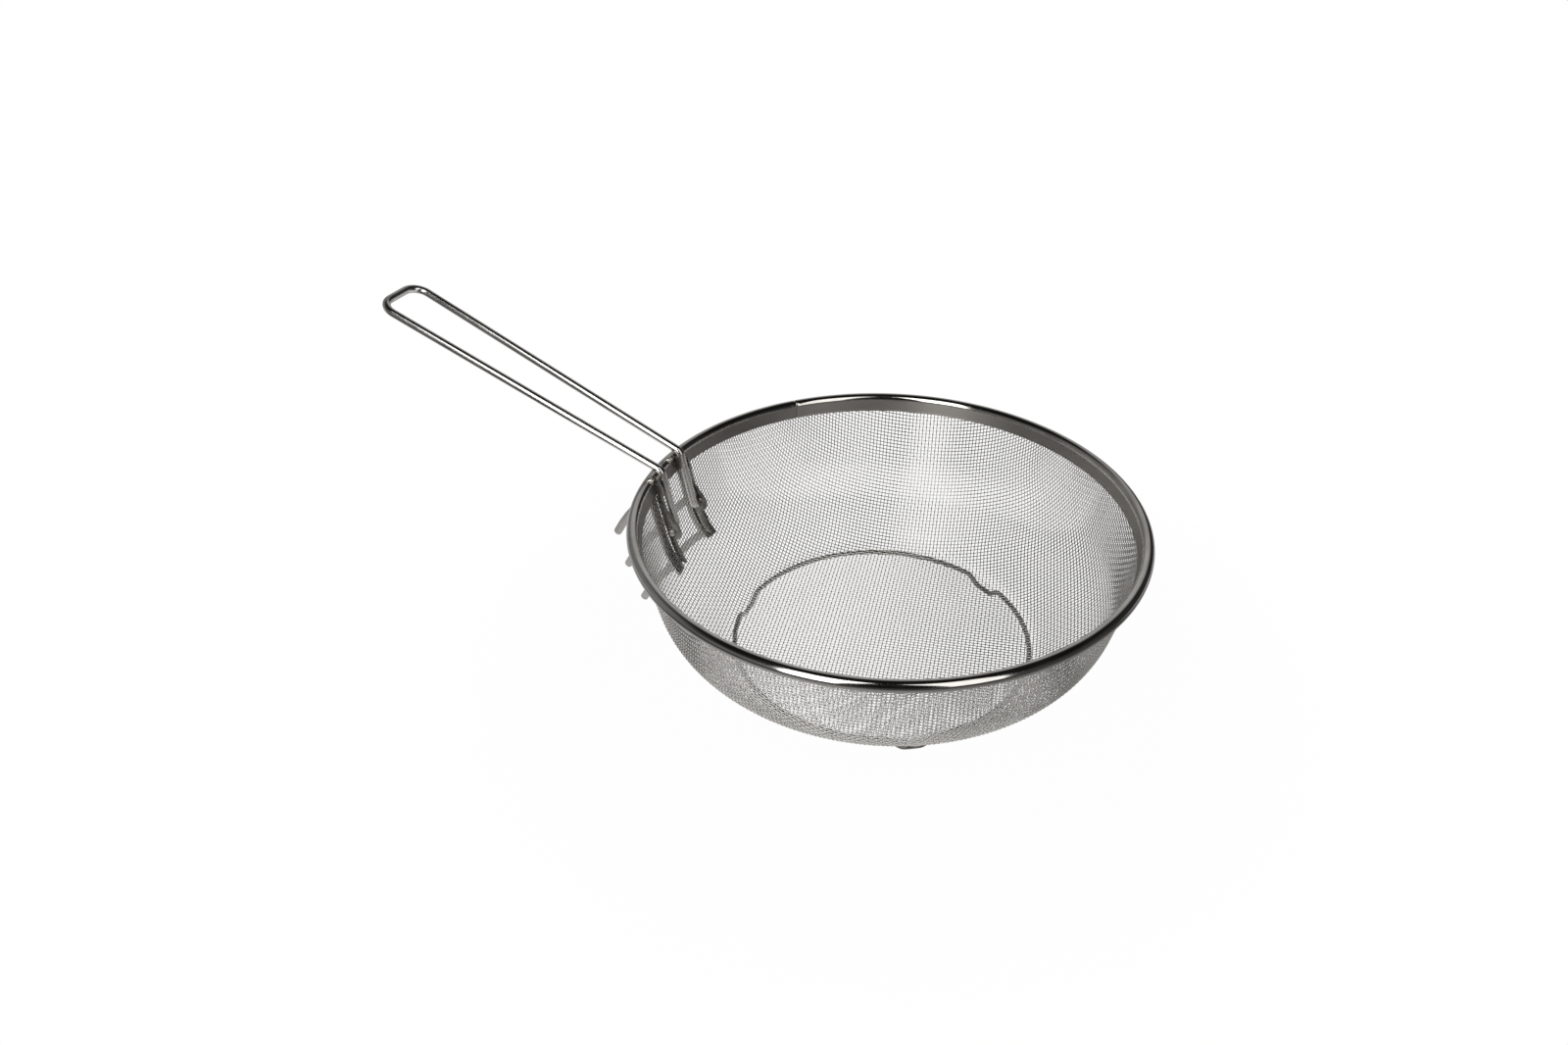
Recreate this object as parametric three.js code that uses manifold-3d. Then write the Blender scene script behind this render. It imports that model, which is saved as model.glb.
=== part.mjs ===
// Frying basket: a drawn wire-mesh bowl with a rolled rim, a base ring with bent feet,
// hook plates for hanging it in a pot, and a wire handle that folds on two hinge ears.
// Millimetres, +Z up. The handle points along -X and the object is the same on both sides of Y = 0.
import * as THREE from "three";
import { mergeVertices } from "three/addons/utils/BufferGeometryUtils.js";
import Module from "manifold-3d";

const wasm = await Module();
wasm.setup();

// Driving dimensions
const basketHeight = 80; // floor to the top of the rim
const rimRadius = 120; // outside of the rolled bead
const beadRadius = 2.7; // outside of the bead's round section
const bandThickness = 0.6; // sheet of the rim band
const bandHeight = 8.5; // inner leaf of the rim band, from the top of the bead
const beadReturnAngle = 250; // degrees of sheet that the bead turns through
const rimWireRadius = 1.2; // wire rolled into the bead
const meshThickness = 0.8; // two crossing wires of the woven mesh
const meshTuck = 3.4; // top edge of the mesh below the top of the rim
const wallTopInset = 4; // mesh centre inside the bead's outside, at the tuck
const wallLean = 13; // degrees that the upper wall leans in
const shoulderDepth = 46; // where the upper and lower walls' lines meet, below the top of the rim
const baseRadius = 74.5; // mesh base, where the lower wall meets it
const shoulderLength = 13; // wall length that the shoulder's curve takes up on each side
const baseCurve = 5; // cone and base length that the base's curve takes up
const openingColumns = 24; // coarse openings round the wall, which stand for the fine weave
const openingRows = 3; // openings down the wall
const baseOpenings = 6; // openings across the base
const meshBar = 5; // mesh left between openings
const openingCut = 4; // depth of each cut beyond the middle of the mesh
const ringWireRadius = 1.25; // base ring
const ringInset = 1.9; // base ring's centre inside the edge of the mesh base
const footDrop = 4.5; // how far a foot is bent down
const footFlat = 7; // straight bottom of a foot
const footSlope = 8; // length along the ring of each side of a foot
const footCount = 3;
const handleWireRadius = 2;
const handleSpacing = 20; // between the centres of the two arms at the rim
const handleEndSpacing = 28; // and at the end of the loop
const handleReach = 262; // bowl axis to the centre of the handle's end
const handleRise = 23; // degrees above the horizontal
const handleEndCurve = 8; // bend radius at the end of the loop
const handleRimCurve = 4; // bend radius where an arm turns down inside the rim
const pinCurve = 3; // bend radius where an arm turns out into its ear
const legInset = 2.7; // arm's corner inside the bead's inner face
const pivotInset = 14.5; // hinge axis inside the outside of the rim
const pivotDepth = 29; // hinge axis below the top of the rim
const pinOverhang = 1.8; // pin end beyond the ear
const sheetThickness = 1.5; // ears and hook plates
const earSpacing = 29; // between the middles of the two ears
const earRadius = 4.8; // round ear about the hinge axis
const earSlope = 13; // length down the strip of the slope that leads to the ear
const stripWidth = 3.2; // upright strip of an ear
const stripDepth = 46; // bottom of the strip below the top of the rim
const stripTop = 3; // top of the strip below the top of the rim
const plateWidth = 3; // upright spine of a hook plate
const flangeWidth = 6; // weld flange of a hook plate, beside the spine
const flangeThickness = 1;
const plateTop = 7; // top of the spine below the top of the rim
const plateDepth = 50; // bottom of the spine below the top of the rim
const hookCount = 3;
const hookPitch = 19; // height between hooks
const hookFirst = 9.5; // first hook's root below the top of the rim
const hookOut = 21; // hook tip out from its root
const hookDown = 27; // hook tip below its root
const hookWidth = 4;

// Clearances
const seatGap = 0.3; // between pieces that are welded or rolled together
const pinGap = 0.2; // round the pins in their holes
const restGap = 2; // handle above the rim, held by its stiff pins

// Facets
const ringSegments = 48;
const wireSides = 8;
const bendSteps = 5;
const meshCurveSteps = 4;

const radians = THREE.MathUtils.degToRad;

// Derived places: a depth is measured down from the top of the rim, a reach out from the bowl's axis
const heightOf = (depth) => basketHeight - depth;
const beadCentreRadius = rimRadius - beadRadius;
const beadDepth = beadRadius;
const innerFaceRadius = beadCentreRadius - beadRadius;
const ringHeight = ringWireRadius + footDrop;
const ringRadius = baseRadius - ringInset;
const meshBaseHeight = ringHeight + ringWireRadius + seatGap + meshThickness / 2;
const baseDepth = basketHeight - meshBaseHeight;
const pivotReach = rimRadius - pivotInset;
const armHalf = handleSpacing / 2;
const armEndHalf = handleEndSpacing / 2;
const earHalf = earSpacing / 2;

// Materials
const steel = (colour, roughness) =>
  new THREE.MeshStandardMaterial({ color: colour, roughness, metalness: 1 });
const polishedSteel = steel(0xb9b7b3, 0.18);
const wireSteel = steel(0xa9a7a3, 0.28);
const meshSteel = steel(0x9a9894, 0.4);
const sheetSteel = steel(0x8d8a86, 0.35);

// A named mesh
function piece(name, geometry, material) {
  const mesh = new THREE.Mesh(geometry, material);
  mesh.name = name;
  return mesh;
}

// Joins any geometry's shared corners, so that it is one closed surface
function welded(geometry) {
  const plain = new THREE.BufferGeometry();
  plain.setAttribute("position", geometry.getAttribute("position"));
  if (geometry.index) plain.setIndex(geometry.index);
  return mergeVertices(plain, 1e-4);
}

// A solid of manifold-3d from a closed geometry
function solidFrom(geometry) {
  const joined = welded(geometry);
  return new wasm.Manifold(
    new wasm.Mesh({
      numProp: 3,
      vertProperties: new Float32Array(joined.getAttribute("position").array),
      triVerts: new Uint32Array(joined.index.array),
    }),
  );
}

// A three.js geometry from a solid of manifold-3d
function geometryFrom(solid) {
  const mesh = solid.getMesh();
  const geometry = new THREE.BufferGeometry();
  geometry.setAttribute("position", new THREE.BufferAttribute(new Float32Array(mesh.vertProperties), 3));
  geometry.setIndex(new THREE.BufferAttribute(new Uint32Array(mesh.triVerts), 1));
  return geometry;
}

// Turns a closed profile of (radius, height) points about the bowl's axis
function turned(profile) {
  const lathe = new THREE.LatheGeometry(profile, ringSegments);
  lathe.rotateX(Math.PI / 2);
  return welded(lathe);
}

// A line through corners, each rounded by an arc of its own bend radius
function bentLine(corners, bendRadii) {
  const points = [corners[0].clone()];
  for (let i = 1; i < corners.length - 1; i++) {
    const into = corners[i].clone().sub(corners[i - 1]).normalize();
    const out = corners[i + 1].clone().sub(corners[i]).normalize();
    const turn = into.angleTo(out);
    const reach = bendRadii[i - 1] * Math.tan(turn / 2);
    const start = corners[i].clone().addScaledVector(into, -reach);
    const side = out.clone().addScaledVector(into, -into.dot(out)).normalize();
    for (let step = 0; step <= bendSteps; step++) {
      const angle = (turn * step) / bendSteps;
      points.push(
        start
          .clone()
          .addScaledVector(into, bendRadii[i - 1] * Math.sin(angle))
          .addScaledVector(side, bendRadii[i - 1] * (1 - Math.cos(angle))),
      );
    }
  }
  points.push(corners[corners.length - 1].clone());
  return points;
}

// A round wire along points, with flat ends
function wireAlong(points, radius) {
  const positions = [];
  const faces = [];
  const last = points.length - 1;
  let across = null;
  points.forEach((point, i) => {
    const before = points[Math.max(i - 1, 0)];
    const after = points[Math.min(i + 1, last)];
    const along = after.clone().sub(before).normalize();
    if (!across) across = new THREE.Vector3(0, 0, 1).cross(along).normalize();
    across = across.addScaledVector(along, -across.dot(along)).normalize();
    const over = along.clone().cross(across);
    for (let k = 0; k < wireSides; k++) {
      const angle = ((k + 0.5) / wireSides) * 2 * Math.PI;
      const corner = point
        .clone()
        .addScaledVector(across, radius * Math.cos(angle))
        .addScaledVector(over, radius * Math.sin(angle));
      positions.push(corner.x, corner.y, corner.z);
    }
  });
  for (let i = 0; i < last; i++) {
    for (let k = 0; k < wireSides; k++) {
      const next = (k + 1) % wireSides;
      const [a, b] = [i * wireSides + k, i * wireSides + next];
      faces.push(a, b, b + wireSides, a, b + wireSides, a + wireSides);
    }
  }
  for (let k = 1; k < wireSides - 1; k++) {
    faces.push(0, k + 1, k);
    faces.push(last * wireSides, last * wireSides + k, last * wireSides + k + 1);
  }
  const geometry = new THREE.BufferGeometry();
  geometry.setAttribute("position", new THREE.Float32BufferAttribute(positions, 3));
  geometry.setIndex(faces);
  return geometry;
}

// A closed wire ring about the bowl's axis, whose height follows the angle round it
function wireRing(radius, wireRadius, angles, heightAt) {
  const positions = [];
  const faces = [];
  angles.forEach((angle) => {
    for (let k = 0; k < wireSides; k++) {
      const turn = ((k + 0.5) / wireSides) * 2 * Math.PI;
      const reach = radius + wireRadius * Math.cos(turn);
      const height = heightAt(angle) + wireRadius * Math.sin(turn);
      positions.push(reach * Math.cos(angle), reach * Math.sin(angle), height);
    }
  });
  angles.forEach((_, i) => {
    const ahead = (i + 1) % angles.length;
    for (let k = 0; k < wireSides; k++) {
      const next = (k + 1) % wireSides;
      const [a, b] = [i * wireSides + k, i * wireSides + next];
      const [c, d] = [ahead * wireSides + next, ahead * wireSides + k];
      faces.push(a, c, b, a, d, c);
    }
  });
  const geometry = new THREE.BufferGeometry();
  geometry.setAttribute("position", new THREE.Float32BufferAttribute(positions, 3));
  geometry.setIndex(faces);
  return geometry;
}

// Middle of the mesh from its tucked top edge to the middle of the base, in radius and depth
function meshPath() {
  const top = new THREE.Vector2(rimRadius - wallTopInset, meshTuck);
  const wallWay = new THREE.Vector2(-Math.tan(radians(wallLean)), 1).normalize();
  const foot = new THREE.Vector2(baseRadius, baseDepth);
  const shoulder = top.clone().addScaledVector(wallWay, (shoulderDepth - meshTuck) / wallWay.y);
  const coneWay = foot.clone().sub(shoulder).normalize();
  const path = new THREE.Path();
  path.moveTo(top.x, top.y);
  const curveStart = shoulder.clone().addScaledVector(wallWay, -shoulderLength);
  const curveEnd = shoulder.clone().addScaledVector(coneWay, shoulderLength);
  path.lineTo(curveStart.x, curveStart.y);
  path.quadraticCurveTo(shoulder.x, shoulder.y, curveEnd.x, curveEnd.y);
  const footStart = foot.clone().addScaledVector(coneWay, -baseCurve);
  path.lineTo(footStart.x, footStart.y);
  path.quadraticCurveTo(foot.x, foot.y, foot.x - baseCurve, foot.y);
  path.lineTo(0, foot.y);
  return path;
}

// The same line moved by a distance to its outer (positive) or inner side
function movedLine(line, distance) {
  return line.map((point, i) => {
    const before = line[Math.max(i - 1, 0)];
    const after = line[Math.min(i + 1, line.length - 1)];
    const way = after.clone().sub(before).normalize();
    return new THREE.Vector2(point.x + way.y * distance, point.y - way.x * distance);
  });
}

const centrePath = meshPath();
const centreLine = centrePath.getPoints(meshCurveSteps);
const innerLine = movedLine(centreLine, -meshThickness / 2);
const outerLine = movedLine(centreLine, meshThickness / 2);

// Reach of the wall at a depth, in the upright plane at a distance beside the handle's plane
function wallReach(line, depth, beside) {
  const i = Math.max(1, line.findIndex((point) => point.y >= depth));
  const share = (depth - line[i - 1].y) / (line[i].y - line[i - 1].y);
  const radius = THREE.MathUtils.lerp(line[i - 1].x, line[i].x, share);
  return Math.sqrt(radius * radius - beside * beside);
}

// A solid block from the four corners of one face and the four corners behind them
function blockSolid(face, behind) {
  const geometry = new THREE.BufferGeometry().setFromPoints([...face, ...behind]);
  const sides = [0, 1, 2, 3].flatMap((k) => {
    const next = (k + 1) % 4;
    return [k, k + 4, next + 4, k, next + 4, next];
  });
  geometry.setIndex([0, 1, 2, 0, 2, 3, 4, 6, 5, 4, 7, 6, ...sides]);
  return solidFrom(geometry);
}

// Rows of openings round the wall, between the rim and the base
function wallOpenings() {
  const length = centrePath.getLength();
  const first = bandHeight + meshBar / 2 - meshTuck;
  const last = length - baseRadius - meshBar / 2;
  const pitch = (last - first + meshBar) / openingRows;
  const corner = (along, out, middle, side) => {
    const point = centrePath.getPoint(along / length);
    const way = centrePath.getTangent(along / length);
    const angle = middle + side * (Math.PI / openingColumns - meshBar / 2 / point.x);
    const radius = point.x + way.y * out;
    const height = heightOf(point.y - way.x * out);
    return new THREE.Vector3(radius * Math.cos(angle), radius * Math.sin(angle), height);
  };
  const blocks = [];
  for (let row = 0; row < openingRows; row++) {
    const top = first + row * pitch;
    const bottom = top + pitch - meshBar;
    for (let column = 0; column < openingColumns; column++) {
      const middle = (column / openingColumns) * 2 * Math.PI;
      const face = (out) => [
        corner(top, out, middle, -1),
        corner(bottom, out, middle, -1),
        corner(bottom, out, middle, 1),
        corner(top, out, middle, 1),
      ];
      blocks.push(blockSolid(face(openingCut), face(-openingCut)));
    }
  }
  return blocks;
}

// A square grid of openings in the base, kept inside the base ring
function baseGrid() {
  const reach = ringRadius - ringWireRadius - meshBar / 2;
  const pitch = (2 * reach + meshBar) / baseOpenings;
  const wide = pitch - meshBar;
  const blocks = [];
  for (let i = 0; i < baseOpenings; i++) {
    for (let j = 0; j < baseOpenings; j++) {
      const x = (i - (baseOpenings - 1) / 2) * pitch;
      const y = (j - (baseOpenings - 1) / 2) * pitch;
      if (Math.hypot(Math.abs(x) - wide / 2, Math.abs(y) - wide / 2) > reach - meshBar) continue;
      blocks.push(solidFrom(new THREE.BoxGeometry(wide, wide, openingCut).translate(x, y, meshBaseHeight)));
    }
  }
  const round = new THREE.CylinderGeometry(reach, reach, openingCut / 2, openingColumns);
  round.rotateX(Math.PI / 2).translate(0, 0, meshBaseHeight);
  return wasm.Manifold.union(blocks).intersect(solidFrom(round));
}

function makeMeshBowl() {
  const outside = outerLine.map((p) => new THREE.Vector2(p.x, heightOf(p.y)));
  const inside = innerLine.map((p) => new THREE.Vector2(p.x, heightOf(p.y))).reverse();
  outside[outside.length - 1].x = 0;
  inside[0].x = 0;
  const profile = [...outside, ...inside, outside[0].clone()].reverse();
  // the profile starts and ends on the axis
  const start = profile.findIndex((p) => p.x === 0);
  const loop = profile.slice(1);
  const fromAxis = [...loop.slice(start), ...loop.slice(0, start)];
  const openings = wasm.Manifold.union([...wallOpenings(), baseGrid()]);
  const bowl = solidFrom(turned(fromAxis)).subtract(openings);
  return piece("mesh_bowl", geometryFrom(bowl), meshSteel);
}

// Reach of the rim band's inner face at a depth below the bead's middle
const leafLean = Math.tan(radians(wallLean));
const leafReach = (depth) => innerFaceRadius - Math.max(0, depth - beadDepth) * leafLean;

function makeRimBand() {
  const arc = (radius) => {
    const points = [];
    for (let step = 0; step <= 2 * bendSteps; step++) {
      const angle = radians(180 - (beadReturnAngle * step) / (2 * bendSteps));
      points.push(
        new THREE.Vector2(
          beadCentreRadius + radius * Math.cos(angle),
          heightOf(beadDepth) + radius * Math.sin(angle),
        ),
      );
    }
    return points;
  };
  const leafEnd = new THREE.Vector2(leafReach(bandHeight), heightOf(bandHeight));
  const leafBack = new THREE.Vector2(leafEnd.x + bandThickness, leafEnd.y);
  const outside = arc(beadRadius);
  const inside = arc(beadRadius - bandThickness).reverse();
  const profile = [leafEnd, ...outside, ...inside, leafBack, leafEnd.clone()];
  return piece("rim_band", turned(profile.reverse()), polishedSteel);
}

function makeRimWire() {
  const angles = Array.from({ length: ringSegments }, (_, i) => (i / ringSegments) * 2 * Math.PI);
  const radius = rimRadius - bandThickness - seatGap / 2 - rimWireRadius;
  const ring = wireRing(radius, rimWireRadius, angles, () => heightOf(beadDepth));
  return piece("rim_core_wire", ring, wireSteel);
}

function makeBaseRing() {
  const stepAngle = (2 * Math.PI) / ringSegments;
  const flatAngle = footFlat / 2 / ringRadius;
  const footAngle = flatAngle + footSlope / ringRadius;
  const angles = [];
  for (let foot = 0; foot < footCount; foot++) {
    const middle = Math.PI + (foot / footCount) * 2 * Math.PI;
    const ahead = middle + (2 * Math.PI) / footCount;
    angles.push(middle - footAngle, middle - flatAngle, middle + flatAngle, middle + footAngle);
    const steps = Math.ceil((ahead - middle - 2 * footAngle) / stepAngle);
    for (let step = 1; step < steps; step++) {
      angles.push(THREE.MathUtils.lerp(middle + footAngle, ahead - footAngle, step / steps));
    }
  }
  const spacing = (2 * Math.PI) / footCount;
  const fromFoot = (angle) => {
    const turn = THREE.MathUtils.euclideanModulo(angle - Math.PI + spacing / 2, spacing);
    return Math.abs(turn - spacing / 2);
  };
  const bent = (angle) => {
    const share = (footAngle - fromFoot(angle)) / (footAngle - flatAngle);
    return THREE.MathUtils.clamp(share, 0, 1);
  };
  const flatTube = ringWireRadius / Math.cos(Math.PI / wireSides);
  const ring = wireRing(ringRadius, flatTube, angles, (angle) => ringHeight - footDrop * bent(angle));
  return piece("base_ring", ring, wireSteel);
}

// One wire: pin, leg, arm, end of the loop, and the same back on the other side
function makeHandle() {
  const rise = radians(handleRise);
  const lift = beadRadius + handleWireRadius + restGap;
  const restReach = beadCentreRadius - lift * Math.sin(rise);
  const restHeight = heightOf(beadDepth) + lift * Math.cos(rise);
  const armHeight = (reach) => restHeight + (reach - restReach) * Math.tan(rise);
  const cornerReach = innerFaceRadius - legInset;
  const pinEnd = earHalf + sheetThickness / 2 + pinOverhang;
  const half = (side) => [
    new THREE.Vector3(-pivotReach, side * pinEnd, heightOf(pivotDepth)),
    new THREE.Vector3(-pivotReach, side * armHalf, heightOf(pivotDepth)),
    new THREE.Vector3(-cornerReach, side * armHalf, armHeight(cornerReach)),
    new THREE.Vector3(-handleReach, side * armEndHalf, armHeight(handleReach)),
  ];
  const corners = [...half(-1), ...half(1).reverse()];
  const bends = [pinCurve, handleRimCurve, handleEndCurve];
  const line = bentLine(corners, [...bends, ...bends.slice().reverse()]);
  return piece("handle_wire", wireAlong(line, handleWireRadius), wireSteel);
}

// Stands a flat (reach, height) outline upright at a distance beside the handle's plane
function uprightSheet(shape, beside) {
  const sheet = new THREE.ExtrudeGeometry(shape, {
    depth: sheetThickness,
    bevelEnabled: false,
    curveSegments: 2 * bendSteps,
  });
  sheet.rotateX(Math.PI / 2);
  sheet.rotateZ(Math.PI);
  // after the turns the outline's x runs along -X and the sheet fills Y from 0 to its thickness
  sheet.translate(0, beside - sheetThickness / 2, 0);
  return sheet;
}

// Depths down an upright edge from top to bottom
function depthsFrom(top, bottom, steps) {
  return Array.from({ length: steps + 1 }, (_, i) => THREE.MathUtils.lerp(top, bottom, i / steps));
}

const uprightSteps = 8;

// Upright strip inside the wall with a round ear for the handle's pin
function makeEar(name, side) {
  const beside = earHalf + sheetThickness / 2;
  const leafFace = (depth) => Math.sqrt(leafReach(depth) ** 2 - beside ** 2) - seatGap;
  const wallFace = (depth) => wallReach(innerLine, depth, beside) - seatGap;
  const belowLeaf = bandHeight + 2 * seatGap;
  const outerEdge = [
    new THREE.Vector2(leafFace(stripTop), stripTop),
    new THREE.Vector2(leafFace(bandHeight), belowLeaf),
    ...depthsFrom(belowLeaf + seatGap, stripDepth, uprightSteps).map(
      (depth) => new THREE.Vector2(wallFace(depth), depth),
    ),
  ];
  const innerEdge = outerEdge.map((p) => new THREE.Vector2(p.x - stripWidth, p.y)).reverse();
  const outline = [...outerEdge, ...innerEdge].map((p) => new THREE.Vector2(p.x, heightOf(p.y)));
  const strip = solidFrom(uprightSheet(new THREE.Shape(outline), side * earHalf));
  const ear = new THREE.Shape();
  const pivot = new THREE.Vector2(pivotReach, heightOf(pivotDepth));
  const slopeDepth = pivotDepth - earRadius / 2 - earSlope;
  ear.moveTo(wallFace(slopeDepth) - stripWidth, heightOf(slopeDepth));
  ear.absarc(pivot.x, pivot.y, earRadius, radians(150), radians(270), false);
  ear.lineTo(wallFace(pivotDepth + earRadius) - stripWidth / 2, pivot.y - earRadius);
  ear.lineTo(wallFace(slopeDepth) - stripWidth / 2, heightOf(slopeDepth));
  const lug = solidFrom(uprightSheet(ear, side * earHalf));
  const bore = new THREE.CylinderGeometry(
    handleWireRadius + pinGap,
    handleWireRadius + pinGap,
    4 * sheetThickness,
    4 * bendSteps,
  );
  bore.translate(-pivot.x, side * earHalf, pivot.y);
  return piece(name, geometryFrom(strip.add(lug).subtract(solidFrom(bore))), sheetSteel);
}

// One hook: a curved tongue with a round tip, from its root down and out
function hookShape(root) {
  const tip = new THREE.Vector2(root.x + hookOut, root.y - hookDown);
  const elbow = new THREE.Vector2(root.x + hookOut * 0.62, root.y - hookDown * 0.45);
  const middle = new THREE.QuadraticBezierCurve(root, elbow, tip);
  const left = [];
  const right = [];
  for (let step = 0; step <= bendSteps; step++) {
    const point = middle.getPoint(step / bendSteps);
    const way = middle.getTangent(step / bendSteps);
    const across = new THREE.Vector2(way.y, -way.x).multiplyScalar(hookWidth / 2);
    left.push(point.clone().sub(across));
    right.push(point.clone().add(across));
  }
  const way = middle.getTangent(1);
  const heading = Math.atan2(way.y, way.x);
  const cap = [];
  for (let step = 1; step < 2 * bendSteps; step++) {
    const angle = heading + Math.PI / 2 - (step / (2 * bendSteps)) * Math.PI;
    const offset = new THREE.Vector2(Math.cos(angle), Math.sin(angle)).multiplyScalar(hookWidth / 2);
    cap.push(tip.clone().add(offset));
  }
  return new THREE.Shape([...left, ...cap, ...right.reverse()]);
}

// Flat weld flange that lies on the outside of the wall, beside a hook plate's spine
function flangeSolid(side) {
  const besides = [earHalf - sheetThickness / 2, earHalf + sheetThickness / 2 + flangeWidth];
  const positions = [];
  const faces = [];
  const depths = depthsFrom(plateTop, plateDepth, uprightSteps);
  depths.forEach((depth) => {
    const reaches = besides.map((beside) => wallReach(outerLine, depth, beside) + seatGap);
    positions.push(-reaches[0], side * besides[0], heightOf(depth));
    positions.push(-reaches[1], side * besides[1], heightOf(depth));
    positions.push(-reaches[1] - flangeThickness, side * besides[1], heightOf(depth));
    positions.push(-reaches[0] - flangeThickness, side * besides[0], heightOf(depth));
  });
  const quad = (a, b, c, d) => faces.push(...(side > 0 ? [a, b, c, a, c, d] : [a, c, b, a, d, c]));
  for (let i = 0; i < uprightSteps; i++) {
    for (let k = 0; k < 4; k++) {
      const next = (k + 1) % 4;
      quad(4 * i + k, 4 * i + 4 + k, 4 * i + 4 + next, 4 * i + next);
    }
  }
  quad(0, 1, 2, 3);
  const last = 4 * uprightSteps;
  quad(last + 3, last + 2, last + 1, last);
  const geometry = new THREE.BufferGeometry();
  geometry.setAttribute("position", new THREE.Float32BufferAttribute(positions, 3));
  geometry.setIndex(faces);
  return solidFrom(geometry);
}

// Upright spine outside the wall with a weld flange, and hooks one above another
function makeHookPlate(name, side) {
  const beside = earHalf - sheetThickness / 2;
  const wallFace = (depth) => wallReach(outerLine, depth, beside) + seatGap;
  const innerEdge = depthsFrom(plateTop, plateDepth, uprightSteps).map(
    (depth) => new THREE.Vector2(wallFace(depth), heightOf(depth)),
  );
  const outerEdge = innerEdge.map((p) => new THREE.Vector2(p.x + plateWidth, p.y)).reverse();
  const shape = new THREE.Shape([...innerEdge, ...outerEdge]);
  let plate = solidFrom(uprightSheet(shape, side * earHalf)).add(flangeSolid(side));
  for (let hook = 0; hook < hookCount; hook++) {
    const depth = hookFirst + hook * hookPitch;
    const root = new THREE.Vector2(wallFace(depth) + plateWidth / 2, heightOf(depth));
    plate = plate.add(solidFrom(uprightSheet(hookShape(root), side * earHalf)));
  }
  return piece(name, geometryFrom(plate), sheetSteel);
}

// The origin is on the floor, under the middle of the whole object's length
const handleEnd = handleReach + handleWireRadius;
const basket = new THREE.Group();
basket.position.x = (handleEnd - rimRadius) / 2;
basket.add(makeMeshBowl());
basket.add(makeRimBand());
basket.add(makeRimWire());
basket.add(makeBaseRing());
basket.add(makeHandle());
basket.add(makeEar("hinge_ear_left", 1));
basket.add(makeEar("hinge_ear_right", -1));
basket.add(makeHookPlate("hook_plate_left", 1));
basket.add(makeHookPlate("hook_plate_right", -1));

const fryingBasket = new THREE.Group();
fryingBasket.add(basket);

export default fryingBasket;
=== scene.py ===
import math

import bmesh
import bpy
import numpy as np
from mathutils import Matrix, Vector


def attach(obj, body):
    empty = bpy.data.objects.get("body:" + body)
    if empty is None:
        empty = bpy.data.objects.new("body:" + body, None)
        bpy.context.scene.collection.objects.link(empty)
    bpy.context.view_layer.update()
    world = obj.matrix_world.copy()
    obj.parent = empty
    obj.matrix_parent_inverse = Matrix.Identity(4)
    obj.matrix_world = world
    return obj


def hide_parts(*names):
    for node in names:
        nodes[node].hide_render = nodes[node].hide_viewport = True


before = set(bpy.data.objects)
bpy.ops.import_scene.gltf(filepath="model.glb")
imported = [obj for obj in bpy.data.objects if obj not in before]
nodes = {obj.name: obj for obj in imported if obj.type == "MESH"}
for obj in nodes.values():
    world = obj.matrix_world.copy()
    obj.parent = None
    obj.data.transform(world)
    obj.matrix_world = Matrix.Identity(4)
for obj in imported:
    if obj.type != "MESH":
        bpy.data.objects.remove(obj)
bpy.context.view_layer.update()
scene = bpy.context.scene
scene.view_settings.view_transform = "Standard"
print("frame loaded")

# shared places, in metres: the bowl's axis, the top of its rim and the rim's radius
place = dict(axisX=0.072, rimTop=0.080, rimRadius=0.120)


class Value:
    # wraps a socket, so that shader maths reads as an expression
    def __init__(self, tree, socket=None):
        self.tree, self.socket = tree, socket

    def make(self, kind, settings=None, sockets=None, out=0):
        node = self.tree.nodes.new(kind)
        for key, value in (settings or {}).items():
            setattr(node, key, value)
        for key, value in (sockets or {}).items():
            target = node.inputs[key]
            if isinstance(value, Value):
                self.tree.links.new(value.socket, target)
            else:
                target.default_value = value
        return Value(self.tree, node.outputs[out] if node.outputs else None)

    def part(self, out):
        return Value(self.tree, self.socket.node.outputs[out])

    def maths(self, operation, a, b=0.0):
        return self.make("ShaderNodeMath", {"operation": operation}, {0: a, 1: b})

    def __add__(self, other):
        return self.maths("ADD", self, other)

    __radd__ = __add__

    def __sub__(self, other):
        return self.maths("SUBTRACT", self, other)

    def __rsub__(self, other):
        return self.maths("SUBTRACT", other, self)

    def __mul__(self, other):
        return self.maths("MULTIPLY", self, other)

    __rmul__ = __mul__

    def mapped(self, low, high, toLow=0.0, toHigh=1.0):
        return self.make(
            "ShaderNodeMapRange",
            {"interpolation_type": "SMOOTHSTEP"},
            {"Value": self, "From Min": low, "From Max": high, "To Min": toLow, "To Max": toHigh},
        )

    def between(self, first, second):
        # this value's share of the way from one colour to another, each plain or worked out
        ends = [end if isinstance(end, Value) else (*end, 1) for end in (first, second)]
        return self.make("ShaderNodeMix", {"data_type": "RGBA"}, {0: self, 6: ends[0], 7: ends[1]}, out=2)


def newMaterial(name):
    material = bpy.data.materials.new(name)
    material.use_nodes = True
    material.node_tree.nodes.clear()
    return material, Value(material.node_tree)


def finishMaterial(start, sockets):
    surface = start.make("ShaderNodeBsdfPrincipled", {}, sockets)
    start.make("ShaderNodeOutputMaterial", {}, {"Surface": surface})


def objectPlace(start):
    return start.make("ShaderNodeTexCoord", {}, {}, out="Object")


def noise(start, where, scale, detail=3.0, roughness=0.55):
    sockets = {"Vector": where, "Scale": scale, "Detail": detail, "Roughness": roughness}
    return start.make("ShaderNodeTexNoise", {}, sockets)


def split(start, where):
    return start.make("ShaderNodeSeparateXYZ", {}, {0: where})


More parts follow.
